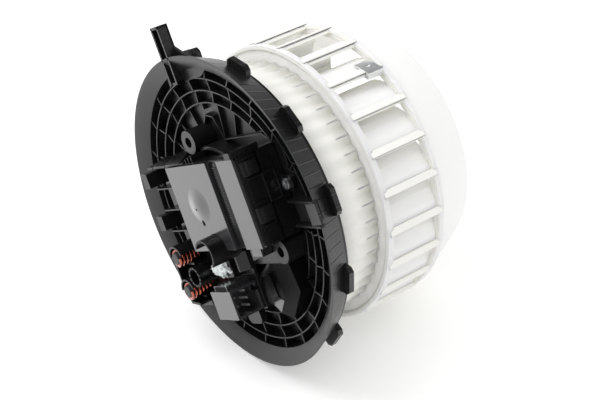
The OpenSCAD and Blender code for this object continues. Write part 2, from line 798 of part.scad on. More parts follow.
module wheel_shell_profile() {
    knee_r = skirt_r - 1;
    polygon([
        [skirt_in_r, wheel_top], [skirt_r, wheel_top], [skirt_r, plate_z + 1],
        [wheel_r - 0.4, plate_z + 1], [wheel_r - 0.4, plate_z - 1], [knee_r, plate_z - 1],
        [cone_knee_r + 12, cone_knee_z + 3], [cone_knee_r, cone_knee_z - 1.4],
        [hub_r + 8, hub_top - 3], [hub_r, hub_top - 5],
        [hub_r, hub_back], [shaft_r + run_gap, hub_back], [shaft_r + run_gap, hub_top],
        [hub_r + 7, hub_top + wheel_wall - 2.6], [cone_knee_r - 1, cone_knee_z + wheel_wall - 1],
        [cone_knee_r + 11, cone_knee_z + 3 + wheel_wall], [knee_r - wheel_wall, plate_z - 0.4]]);
}

module shroud_profile() {
    steps = 8;
    bend = 1.6;
    outer = [for (i = [0:steps]) let (t = i / steps)
        [shroud_r + (inlet_r - shroud_r) * t + bend * sin(180 * t), ring_b_back + 1 + (inlet_z - ring_b_back - 1) * t]];
    polygon(concat(
        [[wheel_r, ring_b_back], [shroud_r, ring_b_back]], outer,
        [for (i = [steps:-1:0]) outer[i] - [wheel_wall, 0]],
        [[shroud_r - wheel_wall, ring_b_top], [wheel_r, ring_b_top]]));
}

module blower_wheel() {
    color([0.93, 0.93, 0.91]) shaft_frame() {
        rotate_extrude($fn = 180) wheel_shell_profile();
        tube(wheel_r, wheel_r - 2.6, ring_a_back, ring_a_top);
        rotate_extrude($fn = 180) shroud_profile();
        tube(skirt_r + fine_h + 0.6, skirt_in_r, wheel_top - 1.6, wheel_top);
        for (i = [0:fine_count - 1]) rotate([0, 0, 360 / fine_count * i])
            translate([0, 0, plate_z]) linear_extrude(wheel_top - 0.8 - plate_z) polygon([
                [skirt_r - 0.5, -0.6], [skirt_r + fine_h, -2], [skirt_r + fine_h, -0.9], [skirt_r - 0.5, 0.7]]);
        for (i = [0:blade_count - 1]) rotate([0, 0, blade_phase + 360 / blade_count * i])
            translate([0, 0, blade_back]) linear_extrude(blade_len)
                blade_band(0, 1, -blade_t / 2, blade_t / 2, blade_steps);
    }
}

module wheel_clip() {
    color([0.7, 0.7, 0.72]) shaft_frame()
        tube(hub_r - 1.2, shaft_r + run_gap, hub_back - 1, hub_back - seat_gap);
}

// Spring steel clip pushed over a blade's tip
module balance_clip() {
    half = blade_t / 2 + clip_gap;
    hole = blade_side(clip_mid, half - clip_gap);
    out = blade_normal(clip_mid);
    color([0.75, 0.76, 0.78]) shaft_frame() rotate([0, 0, blade_phase + 360 / blade_count * clip_blade])
        translate([0, 0, clip_z]) difference() {
            linear_extrude(clip_len) union() {
                blade_band(0.84, 1.03, half, half + clip_t, 4);
                blade_band(0.88, 1.03, -half - clip_t, -half, 4);
                blade_band(1.012, 1.045, -half - clip_t, half + clip_t, 1);
            }
            translate([hole[0], hole[1], clip_len / 2]) rotate([0, 0, atan2(out[1], out[0])])
                rotate([0, 90, 0]) cylinder(r = clip_hole_r, h = clip_t + 1.5);
        }
}

mounting_flange();
motor_can();
field_magnets();
motor_end_cap();
brush_card();
carbon_brushes();
brush_springs();
rear_bearing();
front_bearing();
damper_ring();
motor_screws();
control_housing();
control_cover();
circuit_board();
power_transistors();
heat_sink();
main_capacitor();
fluted_capacitor();
upper_choke_coil();
lower_choke_coil();
upper_ferrite_rod();
lower_ferrite_rod();
connector_socket();
connector_pins();
sealing_beads();
housing_screw();
motor_shaft();
armature_core();
armature_winding();
commutator();
blower_wheel();
wheel_clip();
balance_clip();
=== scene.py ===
# %% [markdown]
# This file dresses a car's cabin blower: a white bladed wheel on a motor, a black
# ribbed mounting flange and an open speed controller. The solids come from the
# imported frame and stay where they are. The frame is in metres, with the shaft along
# Y, the controller on the -Y side and the wheel on the +Y side.

import math

import bmesh
import bpy
from mathutils import Matrix, Vector
from mathutils.noise import turbulence


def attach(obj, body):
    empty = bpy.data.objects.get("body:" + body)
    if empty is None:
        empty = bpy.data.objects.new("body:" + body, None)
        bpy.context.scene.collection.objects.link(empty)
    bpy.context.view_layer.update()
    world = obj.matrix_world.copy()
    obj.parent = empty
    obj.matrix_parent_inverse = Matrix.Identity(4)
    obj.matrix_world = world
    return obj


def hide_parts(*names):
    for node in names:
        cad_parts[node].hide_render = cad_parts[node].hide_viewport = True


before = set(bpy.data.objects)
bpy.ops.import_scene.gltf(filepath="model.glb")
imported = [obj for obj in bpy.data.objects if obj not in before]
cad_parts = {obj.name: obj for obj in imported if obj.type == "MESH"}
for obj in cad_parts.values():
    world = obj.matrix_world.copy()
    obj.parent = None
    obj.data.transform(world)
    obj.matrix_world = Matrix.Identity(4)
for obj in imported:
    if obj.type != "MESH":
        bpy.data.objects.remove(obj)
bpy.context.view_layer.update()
MM = 0.001
print("nodes:", len(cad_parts))

# %% [markdown]
# The camera stands where a photographer would: well back, above and to the right
# of the controller side. A long lens keeps the round flange nearly undistorted.
# It could be aimed by a constraint, but a plain rotation from two angles is easy
# to read and stays put when the view changes.

# %% Camera
AIM = Vector((0.0008, 0.0340, -0.0119))
AZIMUTH, ELEVATION = math.radians(51.59), math.radians(36.0)
DISTANCE = 0.86
LENS = 96.4
SENSOR = 36

toward_camera = Vector((
    math.sin(AZIMUTH) * math.cos(ELEVATION),
    -math.cos(AZIMUTH) * math.cos(ELEVATION),
    math.sin(ELEVATION)))
camera_data = bpy.data.cameras.new("camera")
camera_data.lens = LENS
camera_data.sensor_width = SENSOR
camera = bpy.data.objects.new("camera", camera_data)
camera.location = AIM + toward_camera * DISTANCE
camera.rotation_mode = "QUATERNION"
camera.rotation_quaternion = (-toward_camera).to_track_quat("-Z", "Y")
bpy.context.scene.collection.objects.link(camera)
bpy.context.scene.camera = camera
bpy.context.scene.view_settings.view_transform = "Standard"
print("camera at", tuple(round(v, 3) for v in camera.location))

# %% [markdown]
# Shader maths is easier to read as Python than as a web of Math nodes. One small
# class wraps a socket, so that "1 - mask * 0.5" adds the nodes by itself.

# %% Shader maths
class Sock:
    """A socket of one material's node tree that can be added, multiplied and so on."""

    def __init__(self, tree, socket):
        self.tree, self.socket = tree, socket

    def node(self, kind, inputs=None, output=0, **settings):
        """Adds any node: its settings first, then its inputs, by name or number."""
        made = self.tree.nodes.new(kind)
        for name, value in settings.items():
            setattr(made, name, value)
        for name, value in (inputs or {}).items():
            if isinstance(value, Sock):
                self.tree.links.new(value.socket, made.inputs[name])
            else:
                made.inputs[name].default_value = value
        return Sock(self.tree, made.outputs[output])

    def maths(self, operation, *values):
        """Any Math node on this and other values."""
        return self.node("ShaderNodeMath", dict(enumerate(values)), operation=operation)

    def __add__(self, other):
        return self.maths("ADD", self, other)

    def __mul__(self, other):
        return self.maths("MULTIPLY", self, other)

    def __sub__(self, other):
        return self.maths("SUBTRACT", self, other)

    def __rsub__(self, other):
        return self.maths("SUBTRACT", other, self)

    __radd__, __rmul__ = __add__, __mul__

    def between(self, low, high):
        """0 at low and 1 at high, held at both ends."""
        return self.node("ShaderNodeMapRange", {0: self, 1: low, 2: high})

    def part(self, index):
        """One coordinate of a vector: 0, 1 or 2."""
        return self.node("ShaderNodeSeparateXYZ", {0: self}, output=index)

    def blend(self, first, second):
        """A colour between first and second, by this value."""
        colours = {0: self, 6: (*first, 1), 7: (*second, 1)}
        return self.node("ShaderNodeMix", colours, output=2, data_type="RGBA")


# %% [markdown]
# Every finish starts from the same few lines: a Principled shader, whose constant
# sockets are set directly, and Object coordinates, which stay with the piece when
# it moves and need no unwrapping. Noise is given in features per metre.

# %% A material and its helpers
def finish(name, colour, **constants):
    """A new material: returns it, its shader node and its object coordinates."""
    material = bpy.data.materials.new(name)
    material.use_nodes = True
    tree = material.node_tree
    shader = tree.nodes["Principled BSDF"]
    shader.inputs["Base Color"].default_value = (*colour, 1)
    for socket, value in constants.items():
        shader.inputs[socket.replace("_", " ")].default_value = value
    start = Sock(tree, None)
    place = start.node("ShaderNodeTexCoord", output="Object")
    return material, shader, place


def noise(place, scale, detail=3, roughness=0.5):
    """Cloudy noise between 0 and 1."""
    settings = {"Vector": place, "Scale": scale, "Detail": detail, "Roughness": roughness}
    return place.node("ShaderNodeTexNoise", settings)


def feed(shader, socket, value):
    """Links a value into one of the shader's sockets."""
    value.tree.links.new(value.socket, shader.inputs[socket])


def bump(shader, height, distance):
    """Raises the surface by height times distance, in metres."""
    inputs = {"Strength": 1.0, "Distance": distance, "Height": height}
    feed(shader, "Normal", height.node("ShaderNodeBump", inputs))


def wear(node_or_object, material):
    """Gives a piece one material in its only slot."""
    slots = node_or_object.data.materials
    slots.clear()
    slots.append(material)


# %% [markdown]
# The flange, the controller and the socket are moulded in black plastic. In a white
# studio such plastic isn't black all over: faces that mirror the table turn a soft
# grey, and what looks into a corner stays near black. A dark colour under a glossy
# surface gives this, while a grey colour would look chalky. The gloss changes in
# faint clouds where the mould was polished more, and a fine grain breaks it up.

# %% Black moulded plastic
COOL = 1.08
CLOUDS, STREAKS, GRAIN = 60, 900, 2600
GRAIN_HEIGHT = 0.000008


def black_plastic(name, dark, roughness, grain, ior, coat=0.0):
    """A clouded black: its material, its shader, its coordinates and its grain."""
    colour = (dark, dark, dark * COOL)
    material, shader, place = finish(name, colour, IOR=ior, Coat_Weight=coat, Coat_Roughness=0.1)
    clouds = noise(place, CLOUDS)
    streaks = noise(place, STREAKS, 2)
    feed(shader, "Roughness", roughness - 0.1 + clouds * 0.14 + streaks * 0.06)
    return material, shader, place, noise(place, GRAIN, 2) * grain


def plain_black(name, dark, roughness, ior, coat=0.0):
    """A black plastic with nothing on it but its grain."""
    material, shader, _, grain = black_plastic(name, dark, roughness, 1.0, ior, coat)
    bump(shader, grain, GRAIN_HEIGHT)
    return material


HOUSING_BLACK = plain_black("housing_black", 0.007, 0.2, 1.5)
COVER_BLACK = plain_black("cover_black", 0.03, 0.2, 1.58, 1.0)
SLEEVE_BLACK = plain_black("sleeve_black", 0.003, 0.3, 1.45)
DULL_BLACK = plain_black("dull_black", 0.003, 0.5, 1.2)
print("made the black plastics")

# %% [markdown]
# The flange is the same plastic with tool marks of its own. Short steps run across
# the outside of the rim, a few degrees apart, and grained ridges run along the
# handle bar. Both are too fine to be worth geometry, so they are raised by a bump
# that reads the angle round the shaft and the place along the bar. Its values are in
# metres, as Object coordinates are.

# %% The flange's tool marks
CLOCK_DEGREES = 32.4
CLOCK = math.radians(CLOCK_DEGREES)
RIM_STEPS = 84
STEP_RISES, STEP_TOP, STEP_ENDS = 0.86, 0.93, 1.0
RIM_OUTSIDE = (0.0805, 0.0815)
PER_RIM_RADIUS = 12
FACES_OUT = (0.3, 0.6)
BAR_FROM = (0.072, 0.074)
BAR_SIDES = (-0.0110, -0.0020)
BAR_FADE = 0.0005
RIDGE_PITCH = 0.0016
MARK_HEIGHT = 0.0003


def rim_steps(place, x, z):
    """Short rises round the rim, only on faces that look away from the shaft."""
    square = x * x + z * z
    radius = square.maths("SQRT", square)
    turns = z.maths("ARCTAN2", z, x) * (RIM_STEPS / math.tau)
    turn = turns.maths("FRACT", turns)
    step = turn.between(STEP_RISES, STEP_TOP) - turn.between(STEP_TOP, STEP_ENDS)
    facing = place.node("ShaderNodeTexCoord", output="Normal")
    outward = (facing.part(0) * x + facing.part(2) * z) * PER_RIM_RADIUS
    return step * (radius.between(*RIM_OUTSIDE) * outward.between(*FACES_OUT))


def bar_ridges(place, x, z):
    """Ragged ridges along the handle bar."""
    along = z * math.cos(CLOCK) - x * math.sin(CLOCK)
    across = x * math.cos(CLOCK) + z * math.sin(CLOCK)
    left, right = BAR_SIDES
    on_bar = (across - left).between(0, BAR_FADE) * (right - across).between(0, BAR_FADE)
    ripple = across * (math.tau / RIDGE_PITCH)
    ragged = noise(place, 420, 4)
    return along.between(*BAR_FROM) * on_bar * (ripple.maths("SINE", ripple) * 0.35 + ragged * 1.2)


def flange_plastic():
    """The flange's black, with its steps and ridges."""
    material, shader, place, grain = black_plastic("flange_black", 0.006, 0.34, 0.15, 1.6)
    x, z = place.part(0), place.part(2)
    bump(shader, grain + rim_steps(place, x, z) * 0.6 + bar_ridges(place, x, z), MARK_HEIGHT)
    return material


FLANGE_BLACK = flange_plastic()
print("made the flange's plastic, with", RIM_STEPS, "steps round the rim")

# %% [markdown]
# The wheel is moulded in natural, uncoloured plastic. Its thin blades let light
# through, so even the shaded side of a blade glows in a warm white. Subsurface
# scattering does that: light enters on one side and leaves on the other. Pieces that
# are sunk into the wheel use a plain white instead, because scattered light would
# draw a dark line where they go in. That plain white is also darker than the wheel's
# own, so it paints shade onto the blade lips, the skirt waves and the rolled rings.

# %% White moulded plastic
SOAK = 0.006
SOAK_COLOUR = (1.0, 1.0, 0.9)


def white_plastic(name, glow, light, dark):
    """A clouded white that lets a share of the light through."""
    material, shader, place = finish(
        name, light, Subsurface_Weight=glow, Subsurface_Scale=SOAK, IOR=1.45,
        Specular_IOR_Level=0.12)
    shader.inputs["Subsurface Radius"].default_value = SOAK_COLOUR
    clouds = noise(place, 35)
    feed(shader, "Base Color", clouds.blend(light, dark))
    feed(shader, "Roughness", 0.34 + clouds * 0.16)
    bump(shader, noise(place, 1200, 2), 0.00001)
    return material


WHEEL_WHITE = white_plastic("wheel_white", 1.0, (0.975, 0.965, 0.905), (0.955, 0.942, 0.875))
# Painted shade: the trim is the wheel's plastic in a darker white.
SHADED_TRIM_WHITE = white_plastic("shaded_trim_white", 0.0, (0.86, 0.855, 0.825), (0.83, 0.825, 0.785))
print("made the white plastics")

# %% [markdown]
# Bare metals are plain mirrors with a fine grain in their roughness. Spring steel and
# tin are a little duller, so they are mixed with a plain pale grey. The choke wire is
# copper under red enamel, so it has a clear coat over a darker metal.

# %% Metals
METAL_GRAIN = 2200
METAL_GRAIN_HEIGHT = 0.000006


def metal(name, colour, roughness, metallic=1.0, coat=0.0):
    """A grained metal, with a clear coat where it is enamelled."""
    material, shader, place = finish(
        name, colour, Metallic=metallic, Coat_Weight=coat, Coat_Roughness=0.06)
    grain = noise(place, METAL_GRAIN)
    feed(shader, "Roughness", roughness + grain * 0.18)
    bump(shader, grain, METAL_GRAIN_HEIGHT)
    return material


STEEL = metal("zinc_steel", (0.62, 0.63, 0.65), 0.22)
SPRING = metal("spring_steel", (0.8, 0.81, 0.82), 0.3, metallic=0.75)
ENAMELLED = metal("enamelled_copper", (0.36, 0.062, 0.026), 0.08, coat=1.0)
COPPER = metal("bare_copper", (0.7, 0.36, 0.24), 0.25)
BRONZE = metal("sintered_bronze", (0.52, 0.36, 0.2), 0.4)
TIN = metal("tinned_pins", (0.9, 0.9, 0.9), 0.3, metallic=0.5)
print("made the metals")

# %% [markdown]
# The rest are dull or waxy: ferrite, rubber, the green board and the white sealant.
# One recipe serves them all, with pits that are deeper on ferrite.

# %% Dull finishes
def dull(name, colour, roughness, pits=0.00002):
    """A dull finish with shallow pits."""
    material, shader, place = finish(name, colour)
    clouds = noise(place, 400)
    feed(shader, "Roughness", roughness + clouds * 0.2)
    bump(shader, clouds, pits)
    return material


FERRITE = dull("ferrite", (0.035, 0.035, 0.037), 0.35, 0.00005)
RUBBER = dull("rubber", (0.02, 0.02, 0.02), 0.6)
BOARD = dull("board_green", (0.02, 0.12, 0.05), 0.4)
SEALANT = dull("sealant", (0.86, 0.9, 0.9), 0.1)
print("made the dull finishes")

# %% [markdown]
# Every node of the frame gets its finish from one list. What isn't named is steel.

# %% Finishes onto the nodes
PAINT = {
    "mounting_flange": FLANGE_BLACK, "control_housing": HOUSING_BLACK,
    "control_cover": COVER_BLACK, "connector_socket": COVER_BLACK,
    "main_capacitor": SLEEVE_BLACK, "fluted_capacitor": SLEEVE_BLACK,
    "blower_wheel": WHEEL_WHITE, "balance_clip": SPRING, "wheel_clip": SPRING,
    "upper_choke_coil": ENAMELLED, "lower_choke_coil": ENAMELLED,
    "upper_ferrite_rod": FERRITE, "lower_ferrite_rod": FERRITE,
    "connector_pins": TIN, "sealing_beads": SEALANT, "circuit_board": BOARD,
    "rear_bearing": BRONZE, "front_bearing": BRONZE, "commutator": COPPER,
    "armature_winding": COPPER, "damper_ring": RUBBER, "carbon_brushes": RUBBER,
    "brush_card": RUBBER, "power_transistors": RUBBER, "field_magnets": FERRITE}
for name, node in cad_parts.items():
    wear(node, PAINT.get(name, STEEL))
print("dressed", len(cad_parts), "nodes,", len(PAINT), "of them by name")

# %% [markdown]
# No moulded edge is a knife edge: each has a small radius that draws a thin light
# line. The nodes whose edges show get that radius from modifiers, which leave the
# frame's own mesh alone. Such a node is loose triangles, so a Weld joins them, a
# planar Decimate gives back the flat faces, and a Bevel rounds what is left of the
# edges.

# %% Rounded edges
TOUCHING = 1e-6
FLAT = math.radians(0.5)
SHARP = math.radians(35)
ROUND_STEPS = 2
EDGE_RADII = {
    "connector_socket": 0.22, "blower_wheel": 0.25, "balance_clip": 0.15, "housing_screw": 0.2,
    "upper_ferrite_rod": 0.3, "lower_ferrite_rod": 0.3}


def add_bevel(piece, radius):
    """Rounds the sharp edges of a piece, by a radius in millimetres."""
    rounding = piece.modifiers.new("round_edges", "BEVEL")
    rounding.width = radius * MM
    rounding.segments = ROUND_STEPS
    rounding.limit_method = "ANGLE"
    rounding.angle_limit = SHARP
    rounding.harden_normals = True
    return rounding


def round_node(node, radius):
    """Joins a node's loose triangles into flat faces, then rounds their edges."""
    weld = node.modifiers.new("weld", "WELD")
    weld.merge_threshold = TOUCHING
    flat = node.modifiers.new("flat_faces", "DECIMATE")
    flat.decimate_type = "DISSOLVE"
    flat.angle_limit = FLAT
    add_bevel(node, radius).use_clamp_overlap = False


for name, radius in EDGE_RADII.items():
    round_node(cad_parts[name], radius)
print("rounded the edges of", len(EDGE_RADII), "nodes")

# %% [markdown]
# What the solids only outline is modelled again here in finer detail. A small class
# keeps the mesh under construction, in millimetres and with the front facing up, as
# it was drawn. Every shape starts as one face or one closed line, and then a bmesh
# operator pulls it along or spins it. A Boolean would cut holes too, but shapes that
# are built round their holes keep cleaner edges for the bevel.

# %% A mesh builder
SHAFT = Matrix(((1, 0, 0, 0), (0, 0, -1, 0), (0, 1, 0, 0), (0, 0, 0, 1)))
CLOCKED = SHAFT @ Matrix.Rotation(CLOCK, 4, "Z")
UPWARD = (0, 0, 1)
CENTRE = (0, 0)
TURN = 360.0
FIXED, TURNING = "flange_assembly", "rotor"


def moved_verts(grown):
    """The new vertices among what an extrusion made."""
    return [part for part in grown["geom"] if isinstance(part, bmesh.types.BMVert)]


class Build:
    """A mesh under construction, in millimetres, with the front facing up along Z."""

    def __init__(self):
        self.bm = bmesh.new()

    def pull(self, points, along):
        """One face through the points, pulled along a vector into a closed block."""
        face = self.bm.faces.new([self.bm.verts.new(p) for p in points])
        grown = bmesh.ops.extrude_face_region(self.bm, geom=[face])
        bmesh.ops.translate(self.bm, verts=moved_verts(grown), vec=along)

    def prism(self, outline, low, high):
        """An outline of x and y, pulled up from one height to another."""
        self.pull([(x, y, low) for x, y in outline], (0, 0, high - low))

    def box(self, x0, y0, z0, x1, y1, z1):
        """A block between two corners."""
        self.prism([(x0, y0), (x1, y0), (x1, y1), (x0, y1)], z0, z1)

    def slab(self, outline, y0, y1):
        """An outline of x and z, pulled along y."""
        self.pull([(x, y0, z) for x, z in outline], (0, y1 - y0, 0))

    def wall(self, path, width, low, high):
        """A thin upright wall that follows a path of x and y."""
        for (x0, y0), (x1, y1) in zip(path, path[1:]):
            run = Vector((x1 - x0, y1 - y0))
            ahead = run.normalized() * width / 2
            side = Vector((-ahead.y, ahead.x))
            a, b = Vector((x0, y0)) - ahead, Vector((x1, y1)) + ahead
            self.prism([a - side, b - side, b + side, a + side], low, high)

    def lathe(self, profile, middle=CENTRE, start=0.0, arc=TURN, steps=72, climb=0.0):
        """A closed outline of radius and z, spun round an upright line. The steps are
        those of a full turn, and with a climb the outline rises as it goes round."""
        turned = Matrix.Rotation(math.radians(start), 3, "Z")
        centre = Vector((*middle, 0))
        verts = [self.bm.verts.new(centre + turned @ Vector((r, 0, z))) for r, z in profile]
        turn = {"cent": centre, "axis": UPWARD, "angle": math.radians(arc)}
        if arc == TURN:
            edges = [self.bm.edges.new((a, b)) for a, b in zip(verts, verts[1:] + verts[:1])]
            bmesh.ops.spin(self.bm, geom=verts + edges, steps=steps, use_merge=True, **turn)
        else:
            steps = max(1, round(steps * arc / TURN))
            face = self.bm.faces.new(verts)
            bmesh.ops.spin(self.bm, geom=[face], steps=steps, dvec=(0, 0, climb / steps), **turn)

    def tube(self, middle, outer, inner, low, high, **turn):
        """A ring with upright walls, or a part of one."""
        self.lathe([(inner, low), (outer, low), (outer, high), (inner, high)], middle, **turn)

    def piece(self, name, frame_matrix, body, slot, material, bevel=0.2, replaces=(), smooth=35):
        """Finishes the mesh as an object that rides on a body."""
        bmesh.ops.recalc_face_normals(self.bm, faces=self.bm.faces)
        bmesh.ops.transform(self.bm, matrix=Matrix.Scale(MM, 4) @ frame_matrix, verts=self.bm.verts)
        for face in self.bm.faces:
            face.smooth = True
        for edge in self.bm.edges:
            if len(edge.link_faces) == 2 and edge.calc_face_angle() > math.radians(smooth):
                edge.smooth = False
        mesh = bpy.data.meshes.new(name)
        self.bm.to_mesh(mesh)
        self.bm.free()
        made = bpy.data.objects.new(name, mesh)
        bpy.context.scene.collection.objects.link(made)
        wear(made, material)
        if bevel:
            add_bevel(made, bevel)
        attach(made, body)
        if replaces:
            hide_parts(*replaces)
        print("made", name, "with", len(mesh.polygons), "faces")
        return made


# %% [markdown]
# Outlines with round stretches take their points from an arc, and a test tells
# whether a point lies inside an outline. The test counts how often the outline
# crosses a level line to the right of the point: an odd count means inside.

# %% Arcs and outlines
def circle(middle, radius, start, end, steps):
    """Points on an arc, from one angle to another, in degrees."""
    turns = [math.radians(start + (end - start) * i / steps) for i in range(steps + 1)]
    return [(middle[0] + radius * math.cos(a), middle[1] + radius * math.sin(a)) for a in turns]


def around(middle, radius, degrees):
    """The one point on a circle at an angle."""
    return circle(middle, radius, degrees, degrees, 1)[0]


def polar(radius, degrees):
    """A point round the shaft, by an angle that isn't turned with the flange."""
    turn = math.radians(degrees) - CLOCK
    return (radius * math.cos(turn), radius * math.sin(turn))


def inside(point, outline):
    """True where a point of x and y lies inside an outline."""
    x, y = point
    odd = False
    for (x0, y0), (x1, y1) in zip(outline, outline[1:] + outline[:1]):
        if (y0 > y) != (y1 > y) and x < (x1 - x0) * (y - y0) / (y1 - y0) + x0:
            odd = not odd
    return odd


# %% [markdown]
# The flange is one moulding: a flared rim round a flat floor, with a hole for the
# motor. It could be cut from a disc, but its sections are spun round the shaft
# instead, which keeps the rim exactly round.

# %% Flange rim and floor
FLOOR = 2.0
CUP_INSIDE = 35.2
RIM_SECTION = [(76.6, 0), (80.5, 0), (86, 13.2), (84.6, 13.2), (77.4, 8.5), (76.8, FLOOR)]
BIG_STEPS = 180

flange = Build()
flange.lathe(RIM_SECTION, steps=BIG_STEPS)
flange.tube(CENTRE, 77, CUP_INSIDE, 0, FLOOR, steps=120)
flange.tube(CENTRE, 79.6, 78, -2, 1.5, steps=120)
print("rim and floor:", len(flange.bm.faces), "faces")

# %% [markdown]
# The floor carries a grid of thin ribs. The rings step down towards the motor and
# the radial ribs are kinked from ring to ring. Beside the controller the grid leaves
# a clear bay, a pocket round one screw post and a raised cooling duct by the other.
# A Boolean could cut these out, but here each short stretch of a ring or rib is
# built only where both its ends stay outside those three.

# %% Flange rib rings
RINGS = ((72.2, 7.9), (65.3, 7.0), (58.4, 6.1))
RIB = 0.8
RIB_FOOT = 1.5
STRETCH, OVERLAP = 2, 0.02
BAY = [(9.8, 37.4), (47.4, 37.4), (53.7, 33.6), (61.6, 32), (61.6, 16.8), (70.4, 16.8),
       (70.4, -12.4), (58, -13), (52, -14.2), (9.8, -14.2)]
BAY_WALLED = 6
POCKET = [(-7, 36.6), (-6.4, 46.4), (-1.3, 51.6), (5.2, 49.8), (8, 43), (9.8, 37.4)]
DUCT = [(25, -26), (41.6, -27), (43.4, -43.7), (28.4, -58.2), (17.5, -56), (26.4, -47.6)]


def is_open(point):
    """True where the rib grid may stand."""
    return not any(inside(point, outline) for outline in (BAY, POCKET, DUCT))


for radius, top in RINGS:
    for turn in range(0, int(TURN), STRETCH):
        if is_open(polar(radius, turn)) and is_open(polar(radius, turn + STRETCH)):
            flange.tube(CENTRE, radius + RIB / 2, radius - RIB / 2, RIB_FOOT, top,
                        start=turn - CLOCK_DEGREES, arc=STRETCH + OVERLAP, steps=BIG_STEPS)
print("with rib rings:", len(flange.bm.faces), "faces")

# %% [markdown]
# A radial rib runs from the rim over the three rings to the motor's cup, with a kink
# of a degree or so at each. Its innermost stretch is taller on one half of the floor.

# %% Flange radial ribs
RIB_COUNT, FIRST_RIB = 24, 3
RIB_RADII = (77.8, 72.2, 65.3, 58.4, 36.6)
KINK = 1.4
RIB_PARTS = 6
TALL_SIDE = 67.4
INNER_TALL, INNER_LOW = 4.4, 2.6


def radial_rib(angle):
    """Four straight stretches, each kept from its first open part to its last."""
    is_tall = math.sin(math.radians(angle - TALL_SIDE)) > 0
    tops = [top for _, top in RINGS] + [INNER_TALL if is_tall else INNER_LOW]
    for j, top in enumerate(tops):
        first, last = (polar(RIB_RADII[k], angle + k % 2 * KINK) for k in (j, j + 1))
        spots = [tuple(a + (b - a) * k / RIB_PARTS for a, b in zip(first, last))
                 for k in range(RIB_PARTS + 1)]
        run = [k for k in range(RIB_PARTS) if is_open(spots[k]) and is_open(spots[k + 1])]
        if run:
            flange.wall([spots[run[0]], spots[run[-1] + 1]], RIB, RIB_FOOT, top)


for i in range(RIB_COUNT):
    radial_rib(FIRST_RIB + TURN / RIB_COUNT * i)
flange.wall(BAY[:BAY_WALLED], RIB, RIB_FOOT, 5.7)
flange.wall(POCKET[1:], RIB, RIB_FOOT, 5.0)
print("with radial ribs:", len(flange.bm.faces), "faces")

# %% [markdown]
# Two screw posts hold the controller, a round cup holds the motor, and twelve lugs
# round the rim lock the flange into the car's housing. Each lug is one outline with
# cut corners, turned into its place round the shaft before it is pulled up.

# %% Flange posts, cup and lugs
POSTS = ((-8.2, 41), (44, -21))
LUGS, FIRST_LUG = 12, 2
LUG_ROOT, LUG_REACH = 77.5, 86.1
LUG_HALF, LUG_CORNER, LUG_HEIGHT = 7.9, 2, 3

for post in POSTS:
    flange.tube(post, 6.5, 2.8, 0.5, 16, steps=40)
flange.tube(CENTRE, 37, CUP_INSIDE, -16, 13, steps=120)
flange.tube(CENTRE, 35.3, 22, 7.1, 9.1, steps=96)

lug_edge, lug_side = LUG_REACH - LUG_CORNER, LUG_HALF - LUG_CORNER
lug = [(LUG_ROOT, -LUG_HALF), (lug_edge, -LUG_HALF), (LUG_REACH, -lug_side),
       (LUG_REACH, lug_side), (lug_edge, LUG_HALF), (LUG_ROOT, LUG_HALF)]
for i in range(LUGS):
    turned = Matrix.Rotation(math.radians(FIRST_LUG + TURN / LUGS * i) - CLOCK, 2)
    flange.prism([turned @ Vector(corner) for corner in lug], 0, LUG_HEIGHT)
print("with", LUGS, "lugs:", len(flange.bm.faces), "faces")

# %% [markdown]
# A handle bar stands out past the rim, for turning the flange into its lock. It is an
# open channel: a floor, two side walls and two end walls. A flat web braces it. A
# quarter turn away stands a raised stop on the rim, a wedge between two thin cheeks.

# %% Flange handle bar and stop
BAR_LEFT, BAR_RIGHT = -10.5, -2.5
BAR_ROOT, BAR_TIP = 71.2, 102.5
BAR_FLOOR, BAR_FRONT = 7, 13.2
BAR_WALL = 1.4
WEB = [(-3, 90.5), (5.5, 85.5), (19.5, 79.5), (23.5, 76), (15.5, 72.2), (-3, BAR_ROOT)]
STOP = [(59, 1.5), (77, 1.5), (86.4, 12.4), (86.4, 13.9), (78, 13.9), (74, 7.9), (59, 7.9)]
CHEEK = [(57, 1.5), (77, 1.5), (86.4, 12.4), (86.4, 15), (57, 10.3)]
CHEEK_THICK = 1.2

flange.box(BAR_LEFT, BAR_ROOT, BAR_FLOOR, BAR_RIGHT, BAR_TIP, BAR_FLOOR + BAR_WALL)
flange.box(BAR_LEFT, BAR_ROOT, BAR_FLOOR, BAR_LEFT + BAR_WALL, BAR_TIP, BAR_FRONT)
flange.box(BAR_RIGHT - BAR_WALL, BAR_ROOT, BAR_FLOOR, BAR_RIGHT, BAR_TIP, BAR_FRONT)
flange.box(BAR_LEFT, BAR_TIP - BAR_WALL, BAR_FLOOR, BAR_RIGHT, BAR_TIP, BAR_FRONT)
flange.box(BAR_LEFT, BAR_ROOT, RIB_FOOT, BAR_RIGHT, BAR_ROOT + BAR_WALL, 12.7)
flange.prism(WEB, BAR_FLOOR, 8.6)
flange.slab(STOP, -9, 2)
for y in (-10.4, 2.2):
    flange.slab(CHEEK, y, y + CHEEK_THICK)
flange.piece("flange_moulding", CLOCKED, FIXED, "flange_plastic", FLANGE_BLACK,
             0.13, ("mounting_flange",))

# %% [markdown]
# A raised duct for cooling air stands on the floor by the lower screw post. It is the
# same moulding as the flange, but its flat top looks duller. One mesh could hold two
# materials, and a piece of its own is simpler and keeps one finish to a slot.

# %% Cooling duct
DUCT_TOP = 12.6

duct = Build()
duct.prism(DUCT, RIB_FOOT, DUCT_TOP)
duct.piece("cooling_duct", CLOCKED, FIXED, "flange_plastic", DULL_BLACK, 0.3)

# %% [markdown]
# The controller's housing is an open tray with walls round the electronics. The tray
# gives way to the lower screw post in a round notch, and on one side a skirt drops
# from it towards the floor. Plain prisms and boxes that run into each other make the
# shape, as the ribs and walls of a moulding do.

# %% Controller tray and walls
BASE, TRAY, COVER = 13.3, 15.3, 23.8
LEFT, ROOM_LEFT, RIGHT = -50, -20, 50
BOTTOM, TOP = -14.6, 32
CASE_WALL = 1.8
SUNK = 0.5
CAN_A = (6, -13.4)

